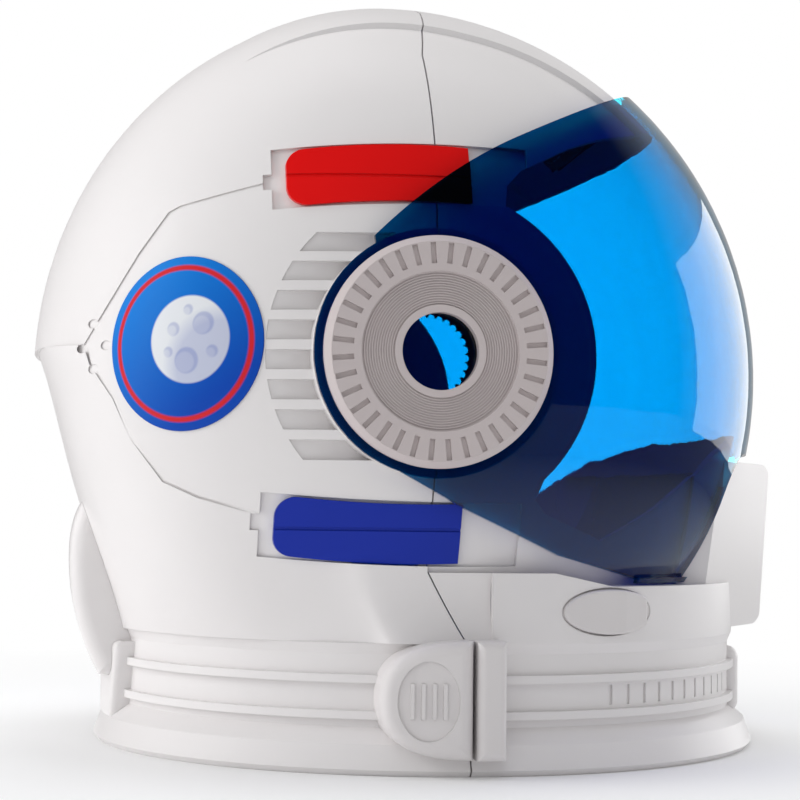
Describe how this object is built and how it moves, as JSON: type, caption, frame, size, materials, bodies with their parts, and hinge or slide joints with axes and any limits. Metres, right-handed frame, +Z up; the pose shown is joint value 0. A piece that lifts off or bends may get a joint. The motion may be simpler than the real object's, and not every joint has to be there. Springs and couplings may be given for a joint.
{
  "type": "toy astronaut helmet",
  "caption": "Child's toy space helmet: white two-part shell on a neck ring, with a blue tinted visor that swings up on round ear hubs and foam pads inside.",
  "frame": {"origin": "centre of the helmet's box, on the plane that its neck ring stands on", "axes": "+Z up, +X the way the wearer faces, +Y the wearer's left"},
  "size_m": [0.285, 0.269, 0.2811],
  "materials": {
    "shell_white": "satin moulded",
    "trim_white": "satin moulded",
    "pad_red": "gloss moulded",
    "pad_blue": "gloss moulded",
    "badge_print": "printed sticker",
    "visor_tint": "clear tinted plastic",
    "hub_grey": "moulded",
    "bush_plastic": "moulded",
    "ring_plastic": "moulded",
    "screw_steel": "bright",
    "pad_foam": "cloth-faced foam"
  },
  "bodies": {
    "root": {"blue_pad_left": "pad_blue", "blue_pad_right": "pad_blue", "brow_pad": "pad_foam", "chin_knob_left": "trim_white", "chin_knob_right": "trim_white", "click_spring_left": "bush_plastic", "click_spring_right": "bush_plastic", "crown_pad": "pad_foam", "crown_strap": "bush_plastic", "front_shell": "shell_white", "hub_bush_left": "bush_plastic", "hub_bush_right": "bush_plastic", "latch_grip_left": "trim_white", "latch_grip_right": "trim_white", "latch_keeper_left": "trim_white", "latch_keeper_right": "trim_white", "nape_pad": "pad_foam", "neck_strap_left": "bush_plastic", "neck_strap_right": "bush_plastic", "rear_cover": "shell_white", "rear_shell": "shell_white", "red_pad_left": "pad_red", "red_pad_right": "pad_red", "side_badge_left": "badge_print", "side_badge_right": "badge_print", "side_pad_left": "pad_foam", "side_pad_right": "pad_foam"},
    "visor": {"ear_dial_left": "hub_grey", "ear_dial_right": "hub_grey", "hub_screws": "screw_steel", "retaining_ring_left": "ring_plastic", "retaining_ring_right": "ring_plastic", "visor": "visor_tint"}
  },
  "joints": [
    {"name": "visor_tilt", "type": "hinge", "parent": "root", "child": "visor", "pos_m": [-0.01175, 0, 0.138], "axis": [0, -1, 0], "range_deg": [0, 75]}
  ]
}
